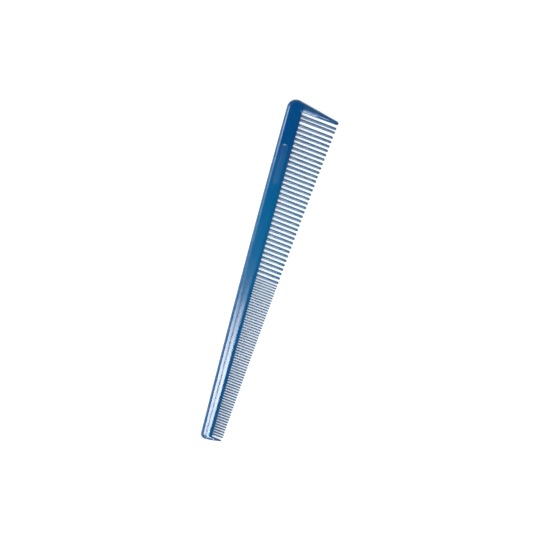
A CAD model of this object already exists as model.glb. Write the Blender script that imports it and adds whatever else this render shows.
"""A tapered grooming comb in glossy blue plastic, lying flat on a pale surface.

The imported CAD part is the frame. Every visible piece here replaces one of its nodes: the spine, the two end
guards, each coarse tooth and each group of fine teeth. Shapes are worked out in millimetres in the comb's own
plan, with x from the toe end to the heel end, y from the root line of the teeth towards the back edge and z
from mid-thickness. place() turns them into metres in the frame.
"""
import math

import bpy
from mathutils import Matrix, Vector


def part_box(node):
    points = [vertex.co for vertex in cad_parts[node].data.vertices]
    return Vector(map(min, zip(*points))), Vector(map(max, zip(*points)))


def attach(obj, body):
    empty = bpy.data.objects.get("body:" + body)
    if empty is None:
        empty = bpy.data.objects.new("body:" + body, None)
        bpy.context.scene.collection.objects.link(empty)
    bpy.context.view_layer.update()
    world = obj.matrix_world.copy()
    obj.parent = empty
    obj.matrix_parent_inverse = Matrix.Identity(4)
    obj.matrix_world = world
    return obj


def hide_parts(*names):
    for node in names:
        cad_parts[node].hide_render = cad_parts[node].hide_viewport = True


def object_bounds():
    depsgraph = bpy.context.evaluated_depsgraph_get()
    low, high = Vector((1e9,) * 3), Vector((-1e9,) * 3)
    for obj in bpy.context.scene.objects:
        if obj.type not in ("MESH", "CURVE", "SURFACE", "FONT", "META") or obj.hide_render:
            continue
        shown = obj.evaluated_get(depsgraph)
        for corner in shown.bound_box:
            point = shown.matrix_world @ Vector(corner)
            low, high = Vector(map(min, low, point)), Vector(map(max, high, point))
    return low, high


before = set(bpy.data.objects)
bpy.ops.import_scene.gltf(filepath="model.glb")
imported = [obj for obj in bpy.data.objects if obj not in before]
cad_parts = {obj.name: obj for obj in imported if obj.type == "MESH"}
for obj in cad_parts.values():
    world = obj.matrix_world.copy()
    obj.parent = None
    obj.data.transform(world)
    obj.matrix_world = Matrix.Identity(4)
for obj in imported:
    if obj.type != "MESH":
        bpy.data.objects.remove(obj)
cad_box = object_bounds()

MM = 0.001
WELD = 1e-8  # points nearer than this, in metres, are one point
CUT_SLACK = 1e-7  # how far under the root line, in metres, a face still counts as the spine's
TOOTH_GAP = 0.004  # in millimetres, between the roots of neighbouring teeth, so that they share no edge
BODY = "root"

# ---- What the frame says ----
LOW, HIGH = cad_box
LENGTH = (HIGH.x - LOW.x) / MM
HALF_THICKNESS = (HIGH.z - LOW.z) / MM / 2
ROOT_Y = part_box("coarse_tooth_01")[1].y  # of the root line
COARSE_NODES = sorted(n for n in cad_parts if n.startswith("coarse_tooth"))
FINE_NODES = sorted(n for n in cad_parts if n.startswith("fine_teeth"))

# ---- Driving dimensions, in millimetres ----
BACK_AT_TOE = 5.85  # height of the back edge over the root line
BACK_AT_HEEL = 8.33
BACK_BOW = 0.54  # how far the back edge swells out at mid length
BACK_ROUND = 1.9  # width of the rounding from the outer edge to the flat face
PARTING_RIDGE = 0.03  # fine ridge where the two halves of the mould met
CROWN = 0.09  # how much the flat faces are domed
ROOT_BEVEL = 1.45  # width of the slope from the flat face down to the tooth roots
ROOT_HALF = 1.2  # half the thickness at the tooth roots
BEVEL_BLEND = 0.25  # share of that slope that is rounded into the flat face
MOST_BEVEL = 0.8  # share of a narrow section's width that its bevels may take
SHARP_INNER = 0.02  # rounding of the spine's lower edges, which the teeth cover
GUARD_INNER = 0.3  # rounding of a guard's inner edges
SHARP_DEGREES = 50  # edges that turn more than this are shaded sharp

# Wear on each part of the surface, from 0 to 1. A shoulder and a tooth's tip add to the wear beside them.
WEAR = {
    "parting": 0.2, "edge": 0.15, "shoulder": 0.6, "face": 0.02, "slope": 0.06, "foot": 0.3, "inner": 0.1,
    "guard": 0.6, "rim": 0.3, "tooth": 0.6, "tooth_tip": 0.3,
}

TOE = {
    "corner": 2.6, "inner": 2.3, "outer": 0.15, "tip_inner": 1.62, "tip_outer": 0.95,
    "depth": 5.25, "full_depth": 1.6, "tip_thickness": 0.42, "corner_steps": 14,
}
HEEL = {
    "corner": 4.7, "inner": 174.2, "outer": 179.24, "tip_inner": 172.66, "tip_outer": 174.38,
    "depth": 19.5, "full_depth": 12.0, "tip_thickness": 0.61, "corner_steps": 18,
}

# Tooth widths, and the rounding of the ridges in which the teeth run out on the spine.
COARSE = {"root": 1.39, "tip": 1.26, "ridge": 0.42}
FINE = {"root": 0.86, "tip": 0.66, "ridge": 0.28}
RIDGE_REACH = 1.15  # how far up the spine the ridges run
TIP_HALF = 0.7  # half the thickness of a tooth at its tip
SLANT = math.tan(math.radians(5.1))  # teeth lean towards the toe
PER_GROUP = 4  # fine teeth in a full group

PANEL = {
    "x": 145.4, "y": 4.0, "length": 21.5, "height": 3.5,
    "depth": 0.107, "wall": 0.62, "rim": 0.06, "margin": 1.8,
}
PANEL_EASE = 0.25  # how far a rim has dropped halfway round it, as a share of its whole drop
PANEL_FLOOR_RINGS = (0.4, 0.8)  # distances from the foot of the wall to the rings on the floor
PANEL_TURN = math.atan((BACK_AT_HEEL - BACK_AT_TOE) / LENGTH / 2)


def mix(a, b, t):
    """The value a share t of the way from a to b."""
    return a + (b - a) * t


def steps(count, first=0.0, last=1.0):
    """count + 1 even values from first to last."""
    return [mix(first, last, i / count) for i in range(count + 1)]


def quarter_turn(count):
    """Angles from 0 to 90 degrees."""
    return steps(count, 0.0, math.pi / 2)


def back_edge(x):
    """Height of the back edge over the root line."""
    t = x / LENGTH
    return mix(BACK_AT_TOE, BACK_AT_HEEL, t) + 4 * BACK_BOW * t * (1 - t)


def place(x, y, z):
    """A point of the comb's plan, in metres in the frame."""
    return Vector((LOW.x + x * MM, ROOT_Y + y * MM, LOW.z + (HALF_THICKNESS + z) * MM))


# ---- Meshes ----

class Skin:
    """Points, each with its share of wear from 0 to 1, and the faces between them."""

    def __init__(self):
        self.points = []
        self.wear = []
        self.faces = []

    def ring(self, points, wear):
        start = len(self.points)
        self.points.extend(points)
        self.wear.extend(wear)
        return list(range(start, len(self.points)))

    def bridge(self, near, far, skip=()):
        """Joins two closed rings of equal length, apart from the strips that skip names."""
        for k in range(len(near)):
            if k not in skip:
                after = (k + 1) % len(near)
                self.faces.append((near[k], near[after], far[after], far[k]))

    def mesh(self, name):
        mesh = bpy.data.meshes.new(name)
        mesh.from_pydata([place(*p) for p in self.points], [], self.faces)
        mesh.polygons.foreach_set("use_smooth", [True] * len(mesh.polygons))
        mesh.attributes.new("wear", "FLOAT", "POINT").data.foreach_set("value", self.wear)
        mesh.set_sharp_from_angle(angle=math.radians(SHARP_DEGREES))
        return mesh


def piece_cut_from(whole, name, keep, lids):
    """The faces of a mesh whose middle passes keep, closed with lids, with the shading of the whole.

    Points in the same place become one, and faces that shrink to a line go.
    """
    first_at = {}
    same = [first_at.setdefault(tuple(round(c / WELD) for c in v.co), v.index) for v in whole.vertices]
    loops = []
    normals = []
    for polygon in whole.polygons:
        if not keep(polygon.center):
            continue
        corners = [(same[v], i) for v, i in zip(polygon.vertices, polygon.loop_indices)]
        corners = [c for c, before in zip(corners, corners[-1:] + corners[:-1]) if c[0] != before[0]]
        if len(corners) > 2:
            loops.append([v for v, _ in corners])
            normals.extend(whole.corner_normals[i].vector.copy() for _, i in corners)
    for lid in lids:
        a, b, c = (whole.vertices[lid[i]].co for i in (0, len(lid) // 3, 2 * len(lid) // 3))
        normals.extend([(b - a).cross(c - a).normalized()] * len(lid))
        loops.append(lid)
    used = sorted({v for loop in loops for v in loop})
    index = {v: i for i, v in enumerate(used)}
    mesh = bpy.data.meshes.new(name)
    mesh.from_pydata([whole.vertices[v].co for v in used], [], [[index[v] for v in loop] for loop in loops])
    mesh.polygons.foreach_set("use_smooth", [True] * len(mesh.polygons))
    wear = whole.attributes["wear"].data
    mesh.attributes.new("wear", "FLOAT", "POINT").data.foreach_set("value", [wear[v].value for v in used])
    mesh.normals_split_custom_set(normals)
    return mesh


def add_piece(name, mesh, material, node):
    mesh.materials.append(material)
    piece = bpy.data.objects.new(name, mesh)
    bpy.context.scene.collection.objects.link(piece)
    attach(piece, BODY)
    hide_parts(node)


# ---- Spine and guards ----

EDGE_STEPS = 12  # points round the back edge
FIRST_EDGE_ANGLE = 0.075  # in radians, of the first of them over the parting ridge
FACE_SPOTS = (0.03, 0.2, 0.4, 0.6, 0.8, 0.95, 1.0)  # points across the face, as shares of its width
FACE_START = 2 + EDGE_STEPS + 1  # the first of them in a profile
SLOPE_SPOTS = (0.1, 0.22, 0.5, 0.8)  # points down the slope to the teeth, as shares of its width
LEAST_FACE = 0.1  # least half width that a face is taken to have
FULL_CROWN_FACE = 2.6  # half width of the narrowest face that is domed by the full amount
MOST_ROUND_OF_ROOT = 0.8  # rounding of the inner edge, at most, as a share of half the root's thickness
MOST_ROUND_OF_SLOPE = 0.6  # and as a share of the slope's width
INNER_SPOT = 0.3  # height of the point on the inner side, as a share of half the root's thickness
GROOVE_FADE = 1.5  # power by which a groove runs out up the slope
SLOT_SPOTS = (1.0, 0.55, 0.2, 0.0, -0.2, -0.55, -1.0)  # across a slot, as shares of its ridges' rounding
DEEPEST_GROOVE = 0.9  # as a share of that rounding
GUARD_WEAR_DEPTH = 3.0  # how far down a guard its faces reach their full wear
GUARD_THINNING = 1.4  # power by which a guard thins towards its tip
GUARD_TIP_DROP = 0.6  # share of the thickness lost at the end of a guard's tip
GUARD_LAST_ANGLE = 86  # degrees round the tip where its last section stands


def face_height(across, low, high, half):
    """Height of the slightly domed flat face, across a section whose face runs from low to high."""
    middle = (low + high) / 2
    reach = max((high - low) / 2, LEAST_FACE)
    return half - CROWN * min(1.0, reach / FULL_CROWN_FACE) * ((across - middle) / reach) ** 2


def half_profile(width, thick, inner_round, groove, face_wear):
    """The upper half of a section as (distance from the inner edge, height, wear), from outside to inside.

    thick is its thickness as a share of the full one. groove is how deep the inner edge is cut down.
    """
    half = HALF_THICKNESS * thick
    root = ROOT_HALF * thick
    scale = min(1.0, MOST_BEVEL * width / (ROOT_BEVEL + BACK_ROUND))
    low = ROOT_BEVEL * scale
    high = width - BACK_ROUND * scale
    brim = face_height(high, low, high, half)
    side = width - PARTING_RIDGE
    profile = [(width, 0.0, WEAR["parting"]), (side, PARTING_RIDGE * thick, 0.0)]
    for angle in steps(EDGE_STEPS, FIRST_EDGE_ANGLE, math.pi / 2):
        wear = WEAR["edge"] + WEAR["shoulder"] * math.sin(2 * angle) ** 4
        profile.append((high + (side - high) * math.cos(angle), brim * math.sin(angle), wear))
    for t in FACE_SPOTS:
        across = mix(high, low, t)
        profile.append((across, face_height(across, low, high, half), face_wear))
    crest = face_height(low, low, high, half)
    for t in SLOPE_SPOTS:
        slope = t * t / (2 * BEVEL_BLEND) if t < BEVEL_BLEND else t - BEVEL_BLEND / 2
        drop = (crest - root) * slope / (1 - BEVEL_BLEND / 2)
        across = mix(low, 0, t)
        profile.append((across, crest - drop - groove * groove_share(across), WEAR["slope"]))
    fillet = min(inner_round, root * MOST_ROUND_OF_ROOT, low * MOST_ROUND_OF_SLOPE)
    slope = (crest - root) / low
    for angle in quarter_turn(4):
        across = fillet * (1 - math.sin(angle))
        rise = fillet * slope * (1 - math.sin(angle)) - fillet * (1 - math.cos(angle))
        profile.append((across, root + rise - groove * groove_share(across), WEAR["foot"]))
    profile.append((0.0, root * INNER_SPOT, WEAR["inner"]))
    profile.append((0.0, 0.0, WEAR["inner"]))
    return profile


def groove_share(across):
    """How much of a groove's depth is left at a distance from the inner edge."""
    return max(0.0, 1 - across / RIDGE_REACH) ** GROOVE_FADE


def section(inner, outer, thick=1.0, inner_round=SHARP_INNER, groove=0.0, face_wear=WEAR["face"]):
    """The points of a closed section and their wear, from the outer edge over the top and back underneath."""
    width = math.hypot(outer[0] - inner[0], outer[1] - inner[1])
    upper = half_profile(width, thick, inner_round, groove, face_wear)
    lower = [(across, -z, wear) for across, z, wear in upper[-2:0:-1]]
    points = []
    for across, z, _ in upper + lower:
        t = across / width
        points.append((mix(inner[0], outer[0], t), mix(inner[1], outer[1], t), z))
    return points, [wear for _, _, wear in upper + lower]


def guard_stations(end, side, flare):
    """Sections down a guard, from the root line to its rounded tip.

    side is 1 where the next tooth is towards the heel and -1 where it is towards the toe. The root flares by
    flare towards that tooth.
    """
    rounding = abs(end["tip_outer"] - end["tip_inner"]) / 2
    straight = end["depth"] - rounding
    depths = [flare * (1 - math.cos(a)) for a in quarter_turn(5)]
    depths += [mix(flare, straight, t) for t in steps(12)[1:]]
    depths += [straight + rounding * math.sin(a) for a in quarter_turn(6)[1:]]
    depths[-1] = straight + rounding * math.sin(math.radians(GUARD_LAST_ANGLE))
    for depth in depths:
        t = depth / end["depth"]
        dip = max(0.0, flare - depth)
        spread = flare - math.sqrt(max(0.0, flare ** 2 - dip ** 2))
        inner = mix(end["inner"], end["tip_inner"], t) + side * spread
        outer = mix(end["outer"], end["tip_outer"], t)
        past = max(0.0, depth - straight) / rounding
        squeeze = 1 - math.sqrt(max(0.0, 1 - past ** 2))
        middle = (inner + outer) / 2
        taper = max(0.0, depth - end["full_depth"]) / (end["depth"] - end["full_depth"])
        thick = mix(1.0, end["tip_thickness"], taper ** GUARD_THINNING) * (1 - GUARD_TIP_DROP * squeeze)
        rounded = mix(SHARP_INNER, GUARD_INNER, min(1.0, depth / (2 * flare)))
        worn = mix(WEAR["face"], WEAR["guard"], min(1.0, depth / GUARD_WEAR_DEPTH))
        inner_point = (mix(inner, middle, squeeze), -depth)
        outer_point = (mix(outer, middle, squeeze), -depth)
        yield section(inner_point, outer_point, thick, rounded, face_wear=worn)


def corner_points(x, radius, first, last, count):
    """Plan points round an outer corner that touches the back edge at x, between two angles in degrees."""
    y = back_edge(x) - radius
    for angle in steps(count, math.radians(first), math.radians(last)):
        yield x + radius * math.cos(angle), y + radius * math.sin(angle)


def panel_window():
    """Where the sunk panel's patch starts and ends along the comb."""
    reach = PANEL["length"] / 2 + PANEL["margin"]
    return PANEL["x"] - reach, PANEL["x"] + reach


def ridge_stations(slots, radii):
    """Places along the root line, each with the depth of the groove there.

    slots holds the middles of the slots and radii the rounding of the ridges beside each of them.
    """
    places = []
    for before, middle, radius in zip(slots, slots[1:], radii):
        places.append(((before + middle) / 2, 0.0))
        for share in SLOT_SPOTS:
            gap = abs(share) * radius
            depth = radius - math.sqrt(radius ** 2 - (radius - gap) ** 2)
            places.append((middle - share * radius, min(depth, DEEPEST_GROOVE * radius)))
    return places


def spine_stations(slots, radii):
    """Inner points, outer points and groove depths, round the toe corner, along the back, round the heel."""
    toe_inner, heel_inner = slots[0], slots[-1]
    heel_x = LENGTH - HEEL["corner"]
    lean = math.degrees(math.atan((HEEL["outer"] - HEEL["tip_outer"]) / HEEL["depth"]))
    for outer in corner_points(TOE["corner"], TOE["corner"], 180, 90, TOE["corner_steps"]):
        yield (toe_inner, 0.0), outer, 0.0
    for inner_x, depth in ridge_stations(slots[:-1], radii):
        x = mix(TOE["corner"], heel_x, (inner_x - toe_inner) / (heel_inner - toe_inner))
        yield (inner_x, 0.0), (x, back_edge(x)), depth
    for outer in corner_points(heel_x, HEEL["corner"], 90, -lean, HEEL["corner_steps"]):
        yield (heel_inner, 0.0), outer, 0.0


def sunk_panel(skin, border):
    """A long panel with round ends, sunk into the face inside a closed border of points."""
    radius = PANEL["height"] / 2
    reach = PANEL["length"] / 2 - radius
    turn = Matrix.Rotation(PANEL_TURN, 2)
    centre = Vector((PANEL["x"], PANEL["y"]))
    local = [turn.transposed() @ (Vector(skin.points[i][:2]) - centre) for i in border]
    hubs = [Vector((max(-reach, min(reach, p.x)), 0.0)) for p in local]
    outs = [(p - hub).normalized() for p, hub in zip(local, hubs)]
    lengths = [(p - hub).length for p, hub in zip(local, hubs)]
    for side in (-1, 1):
        beyond = [i for i, p in enumerate(local) if side * p.x > reach]
        beyond.sort(key=lambda i: math.atan2(local[i].y, side * local[i].x - reach))
        for i, angle in zip(beyond, steps(len(beyond) - 1, -math.pi / 2, math.pi / 2)):
            outs[i] = Vector((side * math.cos(angle), math.sin(angle)))
    edges = [skin.points[i][2] for i in border]
    level = max(edges)

    def loop(distance, sink, wear):
        """Points at a distance from the panel's middle line, at a depth under the domed face."""
        points = []
        for hub, out, length, edge in zip(hubs, outs, lengths, edges):
            x, y = centre + turn @ (hub + out * distance)
            points.append((x, y, mix(level, edge, min(1.0, distance / length) ** 2) - sink))
        return skin.ring(points, [wear] * len(points))

    depth = PANEL["depth"]
    wall = PANEL["wall"]
    rim = PANEL["rim"]
    fall = depth / wall
    loops = [border, loop(radius + rim, 0.0, WEAR["face"])]
    loops.append(loop(radius, fall * rim * PANEL_EASE, WEAR["rim"]))
    loops.append(loop(radius - rim, fall * rim, WEAR["rim"]))
    loops.append(loop(radius - wall + rim, depth - fall * rim, 0.0))
    loops.append(loop(radius - wall, depth - fall * rim * PANEL_EASE, 0.0))
    for from_wall in (rim, *PANEL_FLOOR_RINGS):
        loops.append(loop(radius - (wall + from_wall), depth, 0.0))
    for near, far in zip(loops, loops[1:]):
        skin.bridge(near, far)
    skin.faces.append(tuple(loops[-1]))


def build_frame(material, slots, radii):
    """The spine and both guards as one surface, cut into three pieces on the root line."""
    skin = Skin()
    toe = list(guard_stations(TOE, 1, slots[0] - TOE["inner"]))[::-1]
    root_of_toe = section((slots[0], 0.0), (TOE["outer"], 0.0))
    stations = list(spine_stations(slots, radii))
    spine = [section(inner, outer, groove=groove) for inner, outer, groove in stations]
    heel = list(guard_stations(HEEL, -1, HEEL["inner"] - slots[-1]))
    rings = [skin.ring(*station) for station in toe[:-1] + [root_of_toe] + spine + heel]
    first_root = len(toe) - 1
    last_root = first_root + len(spine) + 1

    first, last = panel_window()
    face = list(range(FACE_START, FACE_START + len(FACE_SPOTS) - 1))
    window = [i for i, (_, outer, _) in enumerate(stations, first_root + 1) if first < outer[0] < last]
    for i, (near, far) in enumerate(zip(rings, rings[1:])):
        inside = window[0] <= i < window[-1]
        skin.bridge(near, far, skip=face[:-1] if inside else ())
    border = [rings[i][face[-1]] for i in window]
    border += [rings[window[-1]][k] for k in face[-2::-1]]
    border += [rings[i][face[0]] for i in window[-2::-1]]
    border += [rings[window[0]][k] for k in face[1:-1]]
    sunk_panel(skin, border)
    skin.faces.append(tuple(rings[0][::-1]))
    skin.faces.append(tuple(rings[-1]))

    whole = skin.mesh("whole_frame")
    root_y = ROOT_Y - CUT_SLACK
    middle = (LOW.x + HIGH.x) / 2
    toe_cut = rings[first_root]
    heel_cut = rings[last_root]
    cuts = {
        "spine": (lambda c: c.y > root_y, [toe_cut[::-1], heel_cut]),
        "toe_guard": (lambda c: c.y <= root_y and c.x < middle, [toe_cut]),
        "heel_guard": (lambda c: c.y <= root_y and c.x > middle, [heel_cut[::-1]]),
    }
    for node, (keep, lids) in cuts.items():
        add_piece(f"{node}_moulding", piece_cut_from(whole, node, keep, lids), material, node)
    bpy.data.meshes.remove(whole)


# ---- Teeth ----

NOSE = 1.1  # length of a tooth's rounded nose, as a share of half its tip's width
NOSE_DROP = 0.55  # share of the nose's narrowing that its thickness follows
NOSE_LAST_ANGLE = 85  # degrees round the nose where its last section stands
SHANK_SPOTS = (0.06, 0.2, 0.4, 0.6, 0.8, 1.0)  # sections from the flare to the nose, as shares of that length
SHANK_ROUND = 0.86  # rounding of a tooth's edges, as a share of the most that fits
SETTLE = 1.6  # depth at which the root's shape has run out, as a multiple of its flare
MOST_TOOTH_RIDGE = 0.3  # parting ridge of a tooth, at most, as a share of its rounding
RIDGE_FOOT = 2.5  # height of the parting ridge's foot, as a multiple of the ridge


def tooth_section(left, right, half, rounding, wear):
    """A rounded oblong from left to right with its parting ridge, from the right side over the top."""
    centres = [(right - rounding, half - rounding), (left + rounding, half - rounding)]
    points = []
    for (x, z), start in zip(centres, (0.0, math.pi / 2)):
        for angle in quarter_turn(5):
            points.append((x + rounding * math.cos(start + angle), z + rounding * math.sin(start + angle)))
    ridge = min(PARTING_RIDGE, rounding * MOST_TOOTH_RIDGE)
    foot = RIDGE_FOOT * ridge
    upper = [(right + ridge, 0.0), (right, foot)] + points + [(left, foot), (left - ridge, 0.0)]
    lower = [(x, -z) for x, z in upper[-2:0:-1]]
    return upper + lower, [wear] * (len(upper) + len(lower))


def add_tooth(skin, root_x, depth, sizes, left_bound, right_bound):
    """One tooth. Its root flares to the middle of each slot beside it, so the slots end in half circles."""
    half_root = sizes["root"] / 2
    half_tip = sizes["tip"] / 2
    left_flare = root_x - half_root - left_bound
    right_flare = right_bound - root_x - half_root
    flare = max(left_flare, right_flare)
    nose = half_tip * NOSE
    depths = [flare * (1 - math.cos(a)) for a in quarter_turn(6)]
    depths += [mix(flare, depth - nose, t) for t in SHANK_SPOTS]
    depths += [depth - nose + nose * math.sin(a) for a in quarter_turn(6)[1:-1]]
    depths.append(depth - nose + nose * math.sin(math.radians(NOSE_LAST_ANGLE)))

    def spread(radius, down):
        """How much a flare of a given radius still widens the root at a depth."""
        dip = max(0.0, radius - down)
        return radius - math.sqrt(max(0.0, radius ** 2 - dip ** 2))

    rings = []
    for down in depths:
        t = down / depth
        past = max(0.0, down - (depth - nose)) / nose
        narrow = math.sqrt(max(0.0, 1 - past ** 2))
        half_width = mix(half_root, half_tip, t) * narrow
        half = mix(ROOT_HALF, TIP_HALF, t) * mix(1.0, narrow, NOSE_DROP)
        middle = root_x - SLANT * down
        left = middle - half_width - spread(left_flare, down)
        right = middle + half_width + spread(right_flare, down)
        settled = min(1.0, down / (SETTLE * flare))
        rounding = mix(sizes["ridge"], SHANK_ROUND * min(half_width, half), settled)
        worn = WEAR["tooth"] + WEAR["tooth_tip"] * t ** 4
        section_points, wear = tooth_section(left, right, half, rounding, worn)
        rings.append(skin.ring([(x, -down, z) for x, z in section_points], wear))
    for near, far in zip(rings, rings[1:]):
        skin.bridge(near, far)
    skin.faces.append(tuple(rings[0][::-1]))
    skin.faces.append(tuple(rings[-1]))


def read_teeth():
    """Each tooth as (node, root x, depth, sizes), from the toe to the heel, as the frame has them."""
    fine_edges = [(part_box(n)[1].x - LOW.x) / MM for n in FINE_NODES]
    pitch = (fine_edges[1] - fine_edges[0]) / PER_GROUP
    fine_depths = [(ROOT_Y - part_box(n)[0].y) / MM for n in FINE_NODES]
    coarse = []
    for node in COARSE_NODES:
        low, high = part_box(node)
        coarse.append((node, (high.x - LOW.x) / MM - COARSE["root"] / 2, (high.y - low.y) / MM, COARSE))
    known = [(edge - pitch / 2, depth) for edge, depth in zip(fine_edges, fine_depths)]

    def fine_depth(x):
        """Between the last teeth of the groups, depths run evenly; the first group follows the second."""
        k = min(max(sum(1 for edge, _ in known if edge < x), 1), len(known) - 1)
        (x0, d0), (x1, d1) = known[k - 1], known[k]
        return mix(d0, d1, (x - x0) / (x1 - x0))

    fine = []
    start = fine_edges[0] - PER_GROUP * pitch
    for node, edge in zip(FINE_NODES, fine_edges):
        count = round((edge - start) / pitch)
        for i in range(count):
            x = start + (i + 0.5) * pitch
            fine.append((node, x, fine_depth(x), FINE))
        start = edge
    return fine + coarse


def slot_middles(teeth):
    """The x of the middle of each slot on the root line, from the toe guard to the heel guard."""
    edges = [TOE["inner"]]
    for _, x, _, sizes in teeth:
        edges += [x - sizes["root"] / 2, x + sizes["root"] / 2]
    edges.append(HEEL["inner"])
    return [(a + b) / 2 for a, b in zip(edges[::2], edges[1::2])]


def ridge_radii(teeth):
    """The rounding of the ridges on each side of the slots between two teeth."""
    return [min(a[3]["ridge"], b[3]["ridge"]) for a, b in zip(teeth, teeth[1:])]


def build_teeth(material, teeth, slots):
    """One piece for each node. Teeth of the same node share a mesh."""
    skins = {}
    for (node, x, depth, sizes), left, right in zip(teeth, slots, slots[1:]):
        skin = skins.setdefault(node, Skin())
        add_tooth(skin, x, depth, sizes, left + TOOTH_GAP / 2, right - TOOTH_GAP / 2)
    for node, skin in skins.items():
        add_piece(f"{node}_moulding", skin.mesh(node), material, node)


# ---- Material ----

class Nodes:
    """A short way to add and join shader nodes."""

    def __init__(self, tree):
        self.tree = tree

    def add(self, kind, inputs=None, **settings):
        node = self.tree.nodes.new(kind)
        for key, value in settings.items():
            setattr(node, key, value)
        for key, value in (inputs or {}).items():
            if isinstance(value, bpy.types.NodeSocket):
                self.tree.links.new(value, node.inputs[key])
            else:
                node.inputs[key].default_value = value
        return node

    def math(self, operation, a, b=0.0, clamp=False):
        return self.add("ShaderNodeMath", {0: a, 1: b}, operation=operation, use_clamp=clamp).outputs[0]

    def noise(self, vector, scale, stretch, detail=3.0, turn=0.0):
        """Noise with features of about 1 / scale millimetres, drawn out along x by stretch."""
        spot = self.add("ShaderNodeMapping", {
            "Vector": vector, "Rotation": (0.0, 0.0, turn), "Scale": (scale / stretch, scale, scale)})
        return self.add("ShaderNodeTexNoise", {
            "Vector": spot.outputs[0], "Scale": 1.0, "Detail": detail}).outputs["Fac"]

    def between(self, value, low, high, to_low=0.0, to_high=1.0):
        return self.add("ShaderNodeMapRange", {
            "Value": value, "From Min": low, "From Max": high,
            "To Min": to_low, "To Max": to_high}).outputs[0]

    def blend(self, factor, a, b):
        mixed = self.add("ShaderNodeMix", {"Factor": factor, "A": a, "B": b}, data_type="RGBA")
        return mixed.outputs["Result"]


DEEP_BLUE = (0.0002, 0.053, 0.176, 1.0)
FLOW_BLUE = (0.0004, 0.092, 0.226, 1.0)
WORN_BLUE = (0.130, 0.155, 0.205, 1.0)
WORN_TINT = {"rubbed": 0.85, "scratches": 0.12}  # how far each turns the colour to the worn one

# Roughness of the glossiest and dullest flow of the plastic, and what the rest adds to it.
ROUGHNESS = {"least": 0.075, "most": 0.11, "grain": 0.05, "scratches": 0.18, "rubbed": 0.16, "panel": 0.14}
RELIEF = {"sink": 0.05, "peel": 0.0012, "streaks": 0.008, "scratches": 0.002}  # heights in millimetres
REFRACTIVE_INDEX = 1.5
PANEL_FLOOR_BLEND = 0.08  # width, in millimetres, over which the panel's satin floor starts


def comb_plastic():
    material = bpy.data.materials.new("comb_plastic")
    material.use_nodes = True
    tree = material.node_tree
    tree.nodes.clear()
    nodes = Nodes(tree)
    spot = nodes.add("ShaderNodeTexCoord").outputs["Object"]
    mm = nodes.add("ShaderNodeVectorMath", {0: spot, "Scale": 1 / MM}, operation="SCALE").outputs[0]
    wear = nodes.add("ShaderNodeAttribute", attribute_name="wear").outputs["Fac"]

    flow = nodes.noise(mm, scale=0.16, stretch=4.0, detail=4.0)
    grain = nodes.noise(mm, scale=2.2, stretch=1.0, detail=2.0)
    long_marks = nodes.between(nodes.noise(mm, scale=9.0, stretch=60.0, turn=0.03), 0.66, 0.76)
    cross_marks = nodes.between(nodes.noise(mm, scale=8.0, stretch=45.0, turn=1.1), 0.69, 0.77)
    scratches = nodes.math("ADD", long_marks, cross_marks, clamp=True)
    patches = nodes.between(nodes.noise(mm, scale=0.9, stretch=3.0), 0.35, 0.7, 0.25, 1.0)
    rubbed = nodes.math("MULTIPLY", wear, patches)

    along = nodes.add("ShaderNodeSeparateXYZ", {0: mm}).outputs["X"]
    # Palest from the comb's middle to 42 mm towards the heel, and deeper at both ends.
    paler_from_toe = nodes.between(along, -60.0, 0.0, 0.3, 0.85)
    deeper_to_heel = nodes.between(along, 42.0, 72.0, 0.85, 0.0)
    paleness = nodes.math("MINIMUM", paler_from_toe, deeper_to_heel)
    tone = nodes.math("ADD", paleness, nodes.between(flow, 0.25, 0.75, -0.25, 0.25), clamp=True)
    colour = nodes.blend(tone, DEEP_BLUE, FLOW_BLUE)
    colour = nodes.blend(nodes.math("MULTIPLY", rubbed, WORN_TINT["rubbed"]), colour, WORN_BLUE)
    colour = nodes.blend(nodes.math("MULTIPLY", scratches, WORN_TINT["scratches"]), colour, WORN_BLUE)

    roughness = nodes.between(flow, 0.3, 0.7, ROUGHNESS["least"], ROUGHNESS["most"])
    for cause, mask in (("grain", grain), ("scratches", scratches), ("rubbed", rubbed)):
        roughness = nodes.math("ADD", roughness, nodes.math("MULTIPLY", mask, ROUGHNESS[cause]))
    satin = nodes.math("MULTIPLY", panel_mask(nodes, mm), ROUGHNESS["panel"])
    roughness = nodes.math("ADD", roughness, satin, clamp=True)

    sink = nodes.noise(mm, scale=0.07, stretch=1.6, detail=1.0)
    peel = nodes.noise(mm, scale=1.4, stretch=1.0, detail=2.0)
    streaks = nodes.noise(mm, scale=0.8, stretch=14.0, detail=2.0)
    relief = nodes.math("MULTIPLY", sink, RELIEF["sink"])
    relief = nodes.math("ADD", relief, nodes.math("MULTIPLY", peel, RELIEF["peel"]))
    relief = nodes.math("ADD", relief, nodes.math("MULTIPLY", streaks, RELIEF["streaks"]))
    relief = nodes.math("SUBTRACT", relief, nodes.math("MULTIPLY", scratches, RELIEF["scratches"]))
    bump = nodes.add("ShaderNodeBump", {"Strength": 1.0, "Distance": MM, "Height": relief})

    shader = nodes.add("ShaderNodeBsdfPrincipled", {
        "Base Color": colour, "Roughness": roughness, "IOR": REFRACTIVE_INDEX, "Normal": bump.outputs[0]})
    output = nodes.add("ShaderNodeOutputMaterial")
    tree.links.new(shader.outputs[0], output.inputs["Surface"])
    return material


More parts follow.
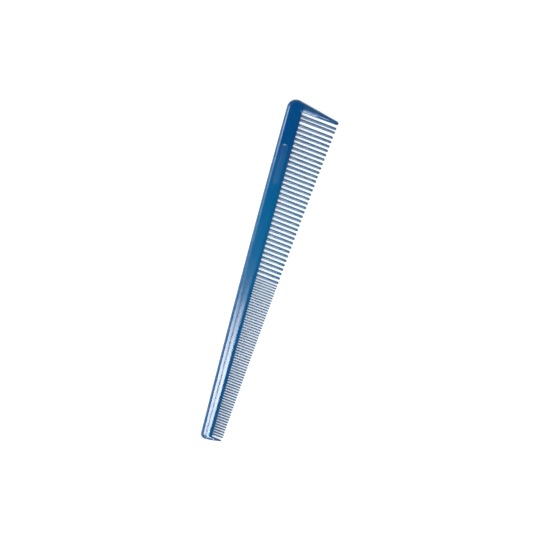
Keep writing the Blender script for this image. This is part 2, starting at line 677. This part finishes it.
def panel_mask(nodes, mm):
    """1 on the floor of the sunk panel, which the mould leaves satin, and 0 elsewhere."""
    centre = place(PANEL["x"], PANEL["y"], 0) / MM
    from_centre = nodes.add("ShaderNodeMapping", {
        "Vector": mm, "Location": (-centre.x, -centre.y, 0.0)}).outputs[0]
    part = nodes.add("ShaderNodeSeparateXYZ", {0: from_centre})
    reach = (PANEL["length"] - PANEL["height"]) / 2
    aside = nodes.math("ABSOLUTE", part.outputs["X"])
    beyond = nodes.math("MAXIMUM", nodes.math("SUBTRACT", aside, reach), 0.0)
    rise = nodes.math("MULTIPLY", part.outputs["X"], math.tan(PANEL_TURN))
    side = nodes.math("SUBTRACT", part.outputs["Y"], rise)
    squares = nodes.math("ADD", nodes.math("POWER", beyond, 2.0), nodes.math("POWER", side, 2.0))
    far = nodes.math("SQRT", squares)
    floor_reach = PANEL["height"] / 2 - PANEL["wall"]
    inside = nodes.between(far, floor_reach, floor_reach - PANEL_FLOOR_BLEND)
    top = nodes.math("GREATER_THAN", part.outputs["Z"], HALF_THICKNESS)
    return nodes.math("MULTIPLY", inside, top)


# ---- Surroundings ----

CAMERA_LENS = 85.0
SENSOR = 36.0
VIEW_WIDTH = 276.3 * MM  # of the surface that the picture covers, at the comb's mid-thickness
VIEW_CENTRE = Vector((2.2 * MM, -0.2 * MM))
VIEW_TURN = math.radians(15.557)  # the comb's x axis, clockwise from straight up in the picture


def add_camera():
    data = bpy.data.cameras.new("camera")
    data.lens = CAMERA_LENS
    data.sensor_width = SENSOR
    camera = bpy.data.objects.new("camera", data)
    distance = VIEW_WIDTH * CAMERA_LENS / SENSOR
    camera.location = (VIEW_CENTRE.x, VIEW_CENTRE.y, LOW.z + HALF_THICKNESS * MM + distance)
    camera.rotation_euler = (0.0, 0.0, VIEW_TURN - math.pi / 2)
    bpy.context.scene.collection.objects.link(camera)
    bpy.context.scene.camera = camera


def set_stops(ramp, fade):
    """Gives a new colour ramp the (place, level) stops of fade. It starts with two stops."""
    ramp.interpolation = "EASE"
    ramp.elements[0].position = fade[0][0]
    ramp.elements[1].position = fade[-1][0]
    for spot, _ in fade[1:-1]:
        ramp.elements.new(spot)
    for element, (_, level) in zip(ramp.elements, fade):
        element.color = (level, level, level, 1.0)


def add_soft_light(name, centre, target, size, radiance, fade=None, colour=(1.0, 1.0, 1.0)):
    """A rectangular soft light of a given radiance that faces target. fade dims it along its own x.

    The cameras don't see the light itself.
    """
    data = bpy.data.lights.new(name, "AREA")
    data.shape = "RECTANGLE"
    data.size, data.size_y = size
    data.energy = radiance * math.pi * size[0] * size[1]
    data.color = colour
    light = bpy.data.objects.new(name, data)
    light.location = centre
    away = (Vector(centre) - Vector(target)).normalized()
    along = (Vector((1.0, 0.0, 0.0)) - away * away.x).normalized()
    light.rotation_euler = Matrix((along, away.cross(along), away)).transposed().to_euler()
    light.visible_camera = False
    if fade:
        data.use_nodes = True
        nodes = Nodes(data.node_tree)
        spot = nodes.add("ShaderNodeNewGeometry").outputs["Parametric"]
        share = nodes.add("ShaderNodeSeparateXYZ", {0: spot}).outputs["X"]
        ramp = nodes.add("ShaderNodeValToRGB", {0: share})
        set_stops(ramp.color_ramp, fade)
        emission = data.node_tree.nodes["Emission"]
        data.node_tree.links.new(ramp.outputs[0], emission.inputs["Strength"])
    bpy.context.scene.collection.objects.link(light)


# Positions and sizes in metres. The soft box over the toe half is in two parts with a gap between them.
OVERHEAD = 0.652
TOE_FADE = (
    (0.0, 0.85), (0.15, 1.0), (0.25, 1.0), (0.36, 0.98), (0.45, 0.88), (0.6, 0.66), (0.7, 0.45), (0.76, 0.1),
    (0.81, 0.0), (1.0, 0.0),
)
HEEL_FADE = ((0.0, 0.12), (0.35, 0.28), (0.55, 0.45), (0.7, 0.75), (0.8, 1.0), (1.0, 1.0))
SOFT_BOX_TINT = (0.97, 1.0, 0.96)
SOFT_LIGHTS = (
    {"name": "soft_box_front", "centre": (-0.0925, -0.012, OVERHEAD), "target": (-0.0925, -0.012, 0.0),
     "size": (0.225, 0.084), "radiance": 24.5, "fade": TOE_FADE, "colour": SOFT_BOX_TINT},
    {"name": "soft_box_back", "centre": (-0.0925, 0.21, OVERHEAD), "target": (-0.0925, 0.21, 0.0),
     "size": (0.225, 0.29), "radiance": 22.5, "fade": TOE_FADE, "colour": SOFT_BOX_TINT},
    {"name": "long_box", "centre": (-0.345, 0.0, OVERHEAD), "target": (-0.345, 0.0, 0.0),
     "size": (0.26, 0.34), "radiance": 3.0, "fade": None},
    {"name": "back_strip", "centre": (0.09, 0.40, 0.5), "target": (0.09, 0.0, 0.0),
     "size": (0.22, 0.38), "radiance": 14.0, "fade": HEEL_FADE, "colour": (0.58, 0.85, 1.0)},
    {"name": "toe_panel", "centre": (-0.567, 0.0, OVERHEAD), "target": (0.083, 0.0, 0.0),
     "size": (0.14, 0.12), "radiance": 46.0, "fade": None, "colour": (0.74, 0.97, 1.0)},
)


WORLD_COLOUR = (0.93, 0.96, 1.0, 1.0)
WORLD_STRENGTH = 0.6  # at the horizon
WORLD_DARK_FROM = 0.65  # sine of the height over the horizon from which the world is dark
WORLD_FALL = 1.5  # power by which it darkens up to there

FLOOR_REACH = 3.0  # metres from the comb to the floor's edges
FLOOR_GAP = 0.02 * MM
FLOOR_COLOUR = (0.36, 0.39, 0.42, 1.0)
FLOOR_GLOW = (0.94, 0.975, 1.0, 1.0)
FLOOR_GLOW_STRENGTH = 0.76
FLOOR_ROUGHNESS = 0.9


def add_world():
    """Pale near the horizon and dark overhead, so that the flat faces stay deep blue away from the lights."""
    world = bpy.data.worlds.new("studio")
    world.use_nodes = True
    nodes = Nodes(world.node_tree)
    direction = nodes.add("ShaderNodeTexCoord").outputs["Generated"]
    up = nodes.add("ShaderNodeSeparateXYZ", {0: direction}).outputs["Z"]
    background = world.node_tree.nodes["Background"]
    background.inputs["Color"].default_value = WORLD_COLOUR
    fall = nodes.math("POWER", nodes.between(up, 0.0, WORLD_DARK_FROM, 1.0, 0.0), WORLD_FALL)
    strength = nodes.math("MULTIPLY", fall, WORLD_STRENGTH)
    world.node_tree.links.new(strength, background.inputs["Strength"])
    bpy.context.scene.world = world


def add_surroundings():
    scene = bpy.context.scene
    scene.view_settings.view_transform = "Standard"
    add_camera()
    add_world()
    for light in SOFT_LIGHTS:
        add_soft_light(**light)

    floor_mesh = bpy.data.meshes.new("floor")
    level = LOW.z - FLOOR_GAP
    corners = [(x * FLOOR_REACH, y * FLOOR_REACH, level) for x, y in ((-1, -1), (1, -1), (1, 1), (-1, 1))]
    floor_mesh.from_pydata(corners, [], [(0, 1, 2, 3)])
    floor = bpy.data.objects.new("floor", floor_mesh)
    scene.collection.objects.link(floor)
    floor_mesh.materials.append(pale_floor())


def pale_floor():
    material = bpy.data.materials.new("pale_floor")
    material.use_nodes = True
    shader = material.node_tree.nodes["Principled BSDF"]
    shader.inputs["Base Color"].default_value = FLOOR_COLOUR
    shader.inputs["Roughness"].default_value = FLOOR_ROUGHNESS
    shader.inputs["Specular IOR Level"].default_value = 0.0
    shader.inputs["Emission Color"].default_value = FLOOR_GLOW
    shader.inputs["Emission Strength"].default_value = FLOOR_GLOW_STRENGTH
    return material


# ---- The comb ----

plastic = comb_plastic()
teeth = read_teeth()
slots = slot_middles(teeth)
build_frame(plastic, slots, ridge_radii(teeth))
build_teeth(plastic, teeth, slots)
add_surroundings()
